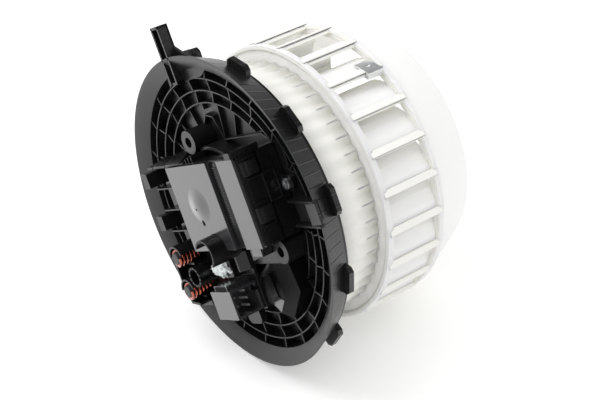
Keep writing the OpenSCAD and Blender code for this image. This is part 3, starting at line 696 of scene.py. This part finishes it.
round_post = circle(POSTS[1], 6.8, 95, 265, 14)
housing = Build()
housing.prism([(LEFT, TOP), (RIGHT, TOP), (RIGHT, BOTTOM), (44, BOTTOM), *round_post, (44, -27.3),
               (10, -27.3), (10, -52), (-46, -52), (LEFT, -42)], BASE, TRAY)
for x0, y0, x1, y1 in (
        (ROOM_LEFT - CASE_WALL, BOTTOM, ROOM_LEFT, TOP),
        (RIGHT - CASE_WALL, BOTTOM, RIGHT, TOP),
        (ROOM_LEFT, TOP - CASE_WALL, RIGHT - CASE_WALL, TOP),
        (ROOM_LEFT, BOTTOM, -1.6, BOTTOM + CASE_WALL),
        (13.6, BOTTOM, RIGHT - CASE_WALL, BOTTOM + CASE_WALL)):
    housing.box(x0, y0, BASE + SUNK, x1, y1, COVER)
housing.box(44, BOTTOM, 2.3, RIGHT, TOP, 14.3)
print("tray and walls:", len(housing.bm.faces), "faces")

# %% [markdown]
# The visible side wall carries two raised blocks with a rolled top, five upright ribs
# and, lower down, a frame with three slots. They are modelled, because a raised edge
# catches the light in a way that a bump can't give.

# %% Side wall relief
WALL_IN = 49
BLOCK = [(WALL_IN, 15.6), (51.6, 15.6), (51.6, 21.6), (51.3, 23), (50.7, 24.2), (50.1, 24.8),
         (50.1, 23.4), (WALL_IN, 23.4)]
SLOT_LOW, SLOT_HIGH = 7.4, 14.3

for y0, y1 in ((21.4, 28.6), (-3, 4.8)):
    housing.slab(BLOCK, y0, y1)
for y in (29.6, 19.2, 6.4, -5.4, BOTTOM):
    housing.box(WALL_IN, y, 15.6, 51.2, y + 1.1, 22.8)
for i in range(4):
    housing.box(WALL_IN, 5 + 4.8 * i, SLOT_LOW, 51.6, 6 + 4.8 * i, 15.2)
for z in (SLOT_LOW, SLOT_HIGH):
    housing.box(WALL_IN, 5, z, 51.5, 20.4, z + 0.9)
print("with side relief:", len(housing.bm.faces), "faces")

# %% [markdown]
# On the other side lies a low deck with three thin ribs and two snap hooks. At the
# far corner stands a post with three grip ridges, and sloped steps of different
# depth run along the top wall, with three ribs in front of them.

# %% Deck, hooks and steps
DECK_LEFT, DECK_RIGHT = -46, -21
HOOK_WIDE = 8
HOOK_NOSE = [(-51.6, 24), (-49, 22.8), (-49, 27), (-51.6, 26.4)]
WALL_TOP = 31

housing.box(DECK_LEFT, -8, BASE + SUNK, DECK_RIGHT, 28, 17.4)
for y in (19.6, 7.4, -4.4):
    housing.box(DECK_LEFT, y, BASE + SUNK, DECK_RIGHT, y + 0.9, COVER)
for y in (22, -2):
    housing.box(LEFT, y, 14.3, -44, y + HOOK_WIDE, 28)
    housing.slab(HOOK_NOSE, y, y + HOOK_WIDE)
housing.box(45, 32.1, 11.3, 50.6, 35.4, 28.6)
housing.box(45, WALL_TOP, 11.3, 49.5, 33, 23.7)
for i in range(3):
    housing.box(RIGHT, 32.4 + i * 1.1, BASE, 51.1, 32.9 + i * 1.1, 28)
for x0, x1, depth in ((LEFT, -44, 33.4), (-43.6, -30, 35), (-29.6, -14, 36), (-13.6, -9, 34.2)):
    slope = [(WALL_TOP, BASE), (depth, BASE), (depth, 14.6), (32.2, 23), (WALL_TOP, 23)]
    housing.pull([(x0, y, z) for y, z in slope], (x1 - x0, 0, 0))
for i, reach in enumerate((33.9, 34.7, 35.4)):
    housing.box(-7.6 + i * 3.4, WALL_TOP, BASE, -6.8 + i * 3.4, reach, 22)
print("with deck and steps:", len(housing.bm.faces), "faces")

# %% [markdown]
# The coils, the capacitors and the sealed wires each have their own holder on the
# tray: half a round cradle for a coil, a sloped block beside the large capacitor, a
# well for the sealant and an eye for the screw.

# %% Holders on the tray
COILS = ((-40, -17.4), (-40, -36.3))
HOLDER_FOOT = 14.8
SCREW_EYE = (55.4, 11)
EYE_LOW, EYE_HIGH = 2.3, 5.3

for x, y in COILS:
    housing.tube((x, y), 6.9, 5.8, HOLDER_FOOT, 30.3, start=15, arc=160, steps=48)
    housing.box(x - 5.4, y - 6.2, HOLDER_FOOT, x + 5.4, y - 4.7, 24)
housing.slab([(2.4, HOLDER_FOOT), (13.4, HOLDER_FOOT), (13.4, 18), (9, 22.4), (7.4, 22.4), (2.4, 19)],
             -28.9, -18.6)
housing.prism([(25.6, -13.6), (43, -13.6), (43, -14.4), (38, -17.4), (36.6, -21), (25.6, -23)],
              HOLDER_FOOT, 22)
housing.box(-18.9, -32.6, HOLDER_FOOT, -2.6, -21.9, 20.6)
housing.tube(SCREW_EYE, 4.2, 1.8, EYE_LOW, EYE_HIGH, steps=32)
housing.box(WALL_IN, 6.8, EYE_LOW, 52, 15.2, EYE_HIGH)
print("with holders:", len(housing.bm.faces), "faces")

# %% [markdown]
# A lid closes the walls, and the large capacitor bites a round notch out of it. A
# strip of fine ribs runs across the lid, later sunk between the cover's two plates.
# A wall runs round the coils, and two round-ended tabs reach over the flange's floor.

# %% Lid, strip and tabs
STRIP_LEFT, STRIP_RIGHT, STRIP_LOW = 22.5, 28.4, -13.1
STRIP_RIBS, STRIP_PITCH = 34, 1.25
TAB_ROUND = 3

bite = circle(CAN_A, 8.1, 188.5, -8.5, 20)
housing.prism([(ROOM_LEFT - CASE_WALL, BOTTOM), *bite, (RIGHT, BOTTOM), (RIGHT, TOP),
               (ROOM_LEFT - CASE_WALL, TOP)], COVER, COVER + 1.6)
housing.box(STRIP_LEFT, STRIP_LOW, COVER + 1.1, STRIP_RIGHT, 30.5, 25.8)
for i in range(STRIP_RIBS):
    y = STRIP_LOW + i * STRIP_PITCH
    housing.box(STRIP_LEFT, y, 25.6, STRIP_RIGHT, y + 0.6, 26.35)
for x in (30.2, 31.8):
    housing.box(x, -14, 25, x + 0.7, 31.4, 26.6)
housing.wall([(-46.8, -12.5), (-46.8, -38), (-43.5, -43.6), (-36, -44.6)], 1.4, HOLDER_FOOT, 28.5)
housing.box(DECK_LEFT, -47, HOLDER_FOOT, -30, -44, 24)
for x, half, end in ((-30.5, 5.5, -57), (-7, 6.5, -58)):
    corner = half - TAB_ROUND
    tab = [(x + half, -50), (x + half, end), *circle((x + corner, end), TAB_ROUND, 0, -90, 6),
           *circle((x - corner, end), TAB_ROUND, -90, -180, 6), (x - half, end), (x - half, -50)]
    housing.prism(tab, 11.5, TRAY)
housing.piece("housing_moulding", CLOCKED, FIXED, "housing_plastic", HOUSING_BLACK,
              0.2, ("control_housing",))

# %% [markdown]
# The large capacitor stands sunk inside an open sleeve that rises over it like a
# hood. A closed can would hide that, so the sleeve is part of a tube, and the can is
# a cup whose hollow shows from above.

# %% Hooded capacitor
CUP_SECTION = [(0.01, 15.4), (6.7, 15.4), (6.7, 30), (6.0, 30), (6.0, 18), (0.01, 18)]

hood = Build()
hood.tube(CAN_A, 8, 6.9, HOLDER_FOOT, 37, start=-62, arc=215)
hood.lathe(CUP_SECTION, CAN_A)
hood.piece("hooded_capacitor", CLOCKED, FIXED, "capacitor_sleeve", SLEEVE_BLACK,
           0.18, ("main_capacitor",))

# %% [markdown]
# The cover is two polished plates on either side of the ribbed strip. The large one
# swells into a low round bulge. A subdivided plate could be pushed up there, but a
# spun section gives the soft slope with fewer faces.

# %% Controller cover
PLATE_TOP = 28
BULGE_MIDDLE, BULGE_RADIUS, BULGE_RISE = (1.9, 10.4), 10.4, 1.45
AXIS = 0.01

cover = Build()
cover.prism([(ROOM_LEFT, BOTTOM), *bite, (23, BOTTOM), (23, TOP), (ROOM_LEFT, TOP)],
            COVER + 1.1, PLATE_TOP)
cover.box(34, BOTTOM, 26.7, RIGHT, TOP, PLATE_TOP)
cover.box(35, -13.8, 25, WALL_IN, WALL_TOP, 27)
cover.box(28, -20.6, 21.6, 37.4, -15.2, 22.6)
cover.piece("cover_plates", CLOCKED, FIXED, "cover_plastic", COVER_BLACK,
            0.18, ("control_cover",))

bulge = Build()
radii = [AXIS] + [i * 0.8 for i in range(1, 13)] + [BULGE_RADIUS]
swell = [(r, 27.95 + BULGE_RISE * math.cos(r / BULGE_RADIUS * math.pi / 2) ** 1.5) for r in radii]
bulge.lathe(swell + [(BULGE_RADIUS, 27.5), (AXIS, 27.5)], BULGE_MIDDLE, steps=96)
bulge.piece("cover_bulge", CLOCKED, FIXED, "cover_plastic", COVER_BLACK, 0)

# %% [markdown]
# Three small hollows look black: a dot and a slot in the bulge, and the long hole by
# the fluted capacitor. They aren't cut: a thin inlay of dull black on the surface is
# painted shade that stands in for each hollow.

# %% Painted shade for three hollows
# Each inlay below is painted shade, not a hollow.
marks = Build()
marks.tube((0.1, 8.7), 0.5, AXIS, 29, 29.42, steps=16)
marks.prism([(-0.1, 2.3), (0.7, 2.3), (1.0, -0.6), (0.2, -0.6)], 27, 28.42)
long_hole = circle((-9, -35), 1.1, 90, 270, 10) + circle((0.4, -35), 1.1, -90, 90, 10)
marks.prism(long_hole, 29, 29.95)
marks.piece("painted_shade_hollows", CLOCKED, FIXED, "cover_plastic", DULL_BLACK, 0)

# %% [markdown]
# Beside the cooling duct lies a small polished plate, the duct's window. It mirrors
# the white table, so it takes the cover's gloss and needs no more than an outline.

# %% Duct window
window = Build()
window.prism([(12.5, -50.5), (18, -46), (25, -48.5), (18, -55.3)], 12, 12.8)
window.piece("duct_window", CLOCKED, FIXED, "cover_plastic", COVER_BLACK, 0.2)

# %% [markdown]
# The second capacitor sits in a fluted sleeve: twelve grooves round its foot, and
# twelve thin rods round its open top. A formula draws the grooved outline, a cosine
# that is raised to a power so that the grooves stay narrow.

# %% Fluted capacitor
CAN_B = (-25.5, -28)
FLUTES = 12
GROOVE = 0.7
OUTLINE_STEP = 3

outline = []
for turn in range(0, int(TURN), OUTLINE_STEP):
    groove = max(0.0, math.cos(math.radians(turn * FLUTES))) ** 3
    outline.append(around(CAN_B, 5.7 - GROOVE * groove, turn))
fluted = Build()
fluted.prism(outline, 15.4, 25)
fluted.tube(CAN_B, 5.6, 4.4, 24.6, 31, steps=48)
fluted.lathe([(AXIS, 24), (4.6, 24), (4.6, 25.4), (AXIS, 25.4)], CAN_B, steps=48)
for i in range(FLUTES):
    fluted.tube(around(CAN_B, 5.1, TURN / FLUTES * i), 0.55, AXIS, 24, 31, steps=10)
fluted.piece("fluted_can", CLOCKED, FIXED, "capacitor_sleeve", SLEEVE_BLACK,
             0.12, ("fluted_capacitor",))

# %% [markdown]
# Five tinned pins end in rounded points just inside the socket's mouth. Each is one
# flat outline with its thickness, which is all that the mouth shows of it.

# %% Connector pins
PIN_LINE = -43.8
PIN_HALF, PIN_THIN = 0.6, 0.3
LOW_ROW, HIGH_ROW = 20, 26.6
PINS = ((-4, LOW_ROW), (0, LOW_ROW), (4, LOW_ROW), (-2.4, HIGH_ROW), (2.4, HIGH_ROW))

pins = Build()
for across, height in PINS:
    low, high = height - PIN_THIN, height + PIN_THIN
    y = PIN_LINE + across
    pins.slab([(-6.9, low), (0.6, low), (1.8, height), (0.6, high), (-6.9, high)],
              y - PIN_HALF, y + PIN_HALF)
pins.piece("socket_pins", CLOCKED, FIXED, "pin_tin", TIN, 0.15, ("connector_pins",))

# %% [markdown]
# The sealant is a crumpled heap: round beads whose surface is pushed in and out by
# noise. A Displace modifier would need a texture of its own, while a few lines that
# move the vertices show just what happens, and they can keep the heap's foot flat.

# %% Sealant heap
BEADS = ((-14.4, -27.2, 4.3), (-8.6, -26.4, 3.9), (-11.4, -29.4, 2.9), (-5, -28.4, 2.1),
         (-12, -24.4, 2.3))
HEAP_MIDDLE, HEAP_FOOT = 21.0, 20.6
CRUMPLE, CRUMPLE_SCALE, CRUMPLE_LEVEL = 1.7, 0.55, 0.35
OCTAVES = 4

heap = Build()
for x, y, radius in BEADS:
    middle = Vector((x, y, HEAP_MIDDLE))
    bead = bmesh.ops.create_icosphere(
        heap.bm, subdivisions=4, radius=radius, matrix=Matrix.Translation(middle))
    for vert in bead["verts"]:
        push = turbulence(vert.co * CRUMPLE_SCALE, OCTAVES, False)
        vert.co += (vert.co - middle).normalized() * (push - CRUMPLE_LEVEL) * CRUMPLE
        vert.co.z = max(vert.co.z, HEAP_FOOT)
heap.piece("sealant_heap", CLOCKED, FIXED, "bead_silicone", SEALANT, 0,
           ("sealing_beads",), smooth=50)

# %% [markdown]
# Each choke is a helix of thick enamelled wire round a ferrite rod. It could be a
# curve with a bevel, but the same spin that made the rings also climbs: the wire's
# round section goes six times round the rod and rises a little at every step.

# %% Choke coils
WIRE, WIRE_SIDES = 0.9, 10
COIL_RADIUS, COIL_FOOT, COIL_HEIGHT = 4.3, 16.6, 13.6
WINDINGS, STEPS_PER_TURN = 6, 28


def choke(name, middle, replaced):
    """One winding round a rod."""
    section = circle((COIL_RADIUS, COIL_FOOT), WIRE, 0, TURN, WIRE_SIDES)[:-1]
    winding = Build()
    winding.lathe(section, middle, arc=TURN * WINDINGS, steps=STEPS_PER_TURN, climb=COIL_HEIGHT)
    winding.piece(name, CLOCKED, FIXED, "coil_copper", ENAMELLED, 0, (replaced,))


choke("upper_winding", COILS[0], "upper_choke_coil")
choke("lower_winding", COILS[1], "lower_choke_coil")

# %% [markdown]
# The wheel's own solid stays. What it lacks is softness: the tip of every blade ends
# in a thick rounded lip, and a thin bead runs along its inner edge. Each is a bar
# along the shaft that follows the blade's own curve, with a rounding of its own.

# %% Blade lips
BLADES, FIRST_BLADE = 23, 11
BLADE_ROOT, BLADE_DEPTH = 56, 20.2
BLADE_SWEEP, BLADE_CURVE = 20, 2.1
LIP_FROM, LIP_TO = 0.93, 1.0
LIP_WIDE, BEAD_WIDE = 3.4, 1.6
BEAD_FROM, BEAD_TO = 49, 56.4
LIP_BACK, LIP_FRONT = -66.4, -32


def on_blade(base, share):
    """A point at a share of a blade's depth, on its curve."""
    turn = base - BLADE_SWEEP * share ** BLADE_CURVE
    return Vector(around(CENTRE, BLADE_ROOT + BLADE_DEPTH * share, turn))


lips = Build()
for i in range(BLADES):
    base = FIRST_BLADE + 360 / BLADES * i
    root = Vector(around(CENTRE, 1, base))
    for a, b, width in ((on_blade(base, LIP_FROM), on_blade(base, LIP_TO), LIP_WIDE),
                        (root * BEAD_FROM, root * BEAD_TO, BEAD_WIDE)):
        run = (b - a).normalized()
        side = Vector((-run.y, run.x)) * width / 2
        lips.prism([a - side, b - side, b + side, a + side], LIP_BACK, LIP_FRONT)
lips.piece("blade_lips", SHAFT, TURNING, "wheel_plastic", SHADED_TRIM_WHITE, 0.45)

# %% [markdown]
# The skirt swells in shallow waves between its fine blades. A round line is pushed in
# and out by a sine, then extruded into a band that widens a little, and a Solidify
# modifier gives the band its wall.

# %% Skirt waves
WAVES, WAVE_POINTS = 48, 480
WAVE_RADIUS, WAVE_HEIGHT = 67.9, 0.7
WAVE_START = math.radians(147.6)
SKIRT_BACK, SKIRT_FRONT = -31.4, -3.4
WIDENS = 1.012
SKIRT_WALL = 1.2

skirt = Build()
line = bmesh.ops.create_circle(skirt.bm, segments=WAVE_POINTS, radius=WAVE_RADIUS)["verts"]
for vert in line:
    wave = math.sin(WAVES * math.atan2(vert.co.y, vert.co.x) + WAVE_START)
    vert.co *= 1 + WAVE_HEIGHT / WAVE_RADIUS * wave
    vert.co.z = SKIRT_BACK
band = bmesh.ops.extrude_edge_only(skirt.bm, edges=skirt.bm.edges)
front = moved_verts(band)
bmesh.ops.scale(skirt.bm, vec=(WIDENS, WIDENS, 1), verts=front)
bmesh.ops.translate(skirt.bm, vec=(0, 0, SKIRT_FRONT - SKIRT_BACK), verts=front)
waved = skirt.piece("skirt_waves", SHAFT, TURNING, "wheel_plastic", SHADED_TRIM_WHITE, 0)
wall = waved.modifiers.new("wall", "SOLIDIFY")
wall.thickness = SKIRT_WALL * MM

# %% [markdown]
# The divider ring and the end ring are rolled over at their edges. A flattened round
# section, spun round the shaft, lays that roll over the sharp edge of the solid.

# %% Rolled rings
ROLL_RADIUS = 75.2
ROLL_WIDE, ROLL_DEEP = 1.6, 2.1
ROLL_SIDES = 16

rolls = Build()
for z in (-32.0, -66.5):
    turns = [math.tau * k / ROLL_SIDES for k in range(ROLL_SIDES)]
    section = [(ROLL_RADIUS + ROLL_WIDE * math.cos(a), z + ROLL_DEEP * math.sin(a)) for a in turns]
    rolls.lathe(section, steps=BIG_STEPS)
rolls.piece("rolled_rings", SHAFT, TURNING, "wheel_plastic", SHADED_TRIM_WHITE, 0)

# %% [markdown]
# The blower lies on a white table, on the rim of its flange and the rims of its
# wheel. The table is tilted by a few degrees, which nobody sees on plain white. A
# white surface never looks quite white under soft light, so the table also glows a
# little, but only where the camera, a mirror or glass sees it. The shadow stays.

# %% Table
RIM_LOW = Vector((0, -0.0132, -0.086))
WHEEL_LOW = Vector((0, 0.0665, -0.0768))
TABLE_SIZE = 8
TABLE_WHITE = 0.88
TABLE_GLOW = 0.22

slope = WHEEL_LOW - RIM_LOW
tilt = math.atan2(slope.z, slope.y)
bm = bmesh.new()
bmesh.ops.create_grid(bm, x_segments=1, y_segments=1, size=TABLE_SIZE)
bmesh.ops.transform(
    bm, matrix=Matrix.Translation(RIM_LOW) @ Matrix.Rotation(tilt, 4, "X"), verts=bm.verts)
table_mesh = bpy.data.meshes.new("table")
bm.to_mesh(table_mesh)
bm.free()
table = bpy.data.objects.new("table", table_mesh)
bpy.context.scene.collection.objects.link(table)


def ray_kinds(sock):
    """1 or 0 for a ray from the camera, off a mirror and through glass."""
    paths = sock.tree.nodes.new("ShaderNodeLightPath")
    names = ("Is Camera Ray", "Is Glossy Ray", "Is Transmission Ray")
    return [Sock(sock.tree, paths.outputs[name]) for name in names]


table_white, shader, place = finish("table_white", (TABLE_WHITE,) * 3, Roughness=0.9)
shader.inputs["Emission Color"].default_value = (1, 1, 1, 1)
shader.inputs["Specular IOR Level"].default_value = 0.0
from_camera, mirrored, through_glass = ray_kinds(place)
seen = place.maths("MAXIMUM", place.maths("MAXIMUM", from_camera, mirrored), through_glass)
feed(shader, "Emission Strength", seen * TABLE_GLOW)
wear(table, table_white)
print("table tilted by", round(math.degrees(tilt), 1), "degrees")

# %% [markdown]
# A photographer's room is white at table height and dark above, where the lamps
# hang. Mirrors see it so: faces that look at the table turn grey, and faces that
# look up stay black, apart from the lamps' own reflections. The camera sees an even
# white behind the blower, and dull surfaces are lit almost as evenly.

# %% The studio
AMBIENT = 0.97
HIGH_WALL = 0.1
WALL_FADES = (0.0, 0.35)


def studio_strength(sky):
    """White to the camera, AMBIENT as light, and darker with height in a mirror."""
    from_camera, mirrored, through_glass = ray_kinds(sky)
    height = sky.node("ShaderNodeTexCoord", output="Generated").part(2)
    wall = 1 - height.between(*WALL_FADES) * (1 - HIGH_WALL)
    as_light = 1 - from_camera - through_glass - mirrored
    return from_camera + through_glass + mirrored * wall + as_light * AMBIENT


world = bpy.data.worlds.new("studio")
bpy.context.scene.world = world
world.use_nodes = True
background = world.node_tree.nodes["Background"]
background.inputs["Color"].default_value = (1, 1, 1, 1)
feed(background, "Strength", studio_strength(Sock(world.node_tree, None)))
print("the room fades to", HIGH_WALL, "overhead")

# %% [markdown]
# Three large soft lamps shape the form: the key from above, an edge light from the
# controller's left and a weak fill from behind the wheel. Large lamps give the wide,
# soft reflections that show a black plastic's shape.

# %% Lamps
def softbox(name, location, aim, size, power):
    """A square soft lamp in metres and watts, turned towards a point."""
    data = bpy.data.lights.new(name, "AREA")
    data.shape = "SQUARE"
    data.size = size
    data.energy = power
    lamp = bpy.data.objects.new(name, data)
    lamp.location = location
    lamp.rotation_mode = "QUATERNION"
    lamp.rotation_quaternion = (Vector(aim) - Vector(location)).to_track_quat("-Z", "Y")
    bpy.context.scene.collection.objects.link(lamp)
    print("lamp", name, "of", power, "watts")


softbox("key", (-0.5, -0.5, 1.1), (0, 0.03, 0), 0.9, 6)
softbox("edge", (-0.95, -0.88, 0.75), (0, 0, 0), 0.5, 2)
softbox("fill", (1.1, 0.5, 0.7), (0, 0.03, 0), 0.8, 1)
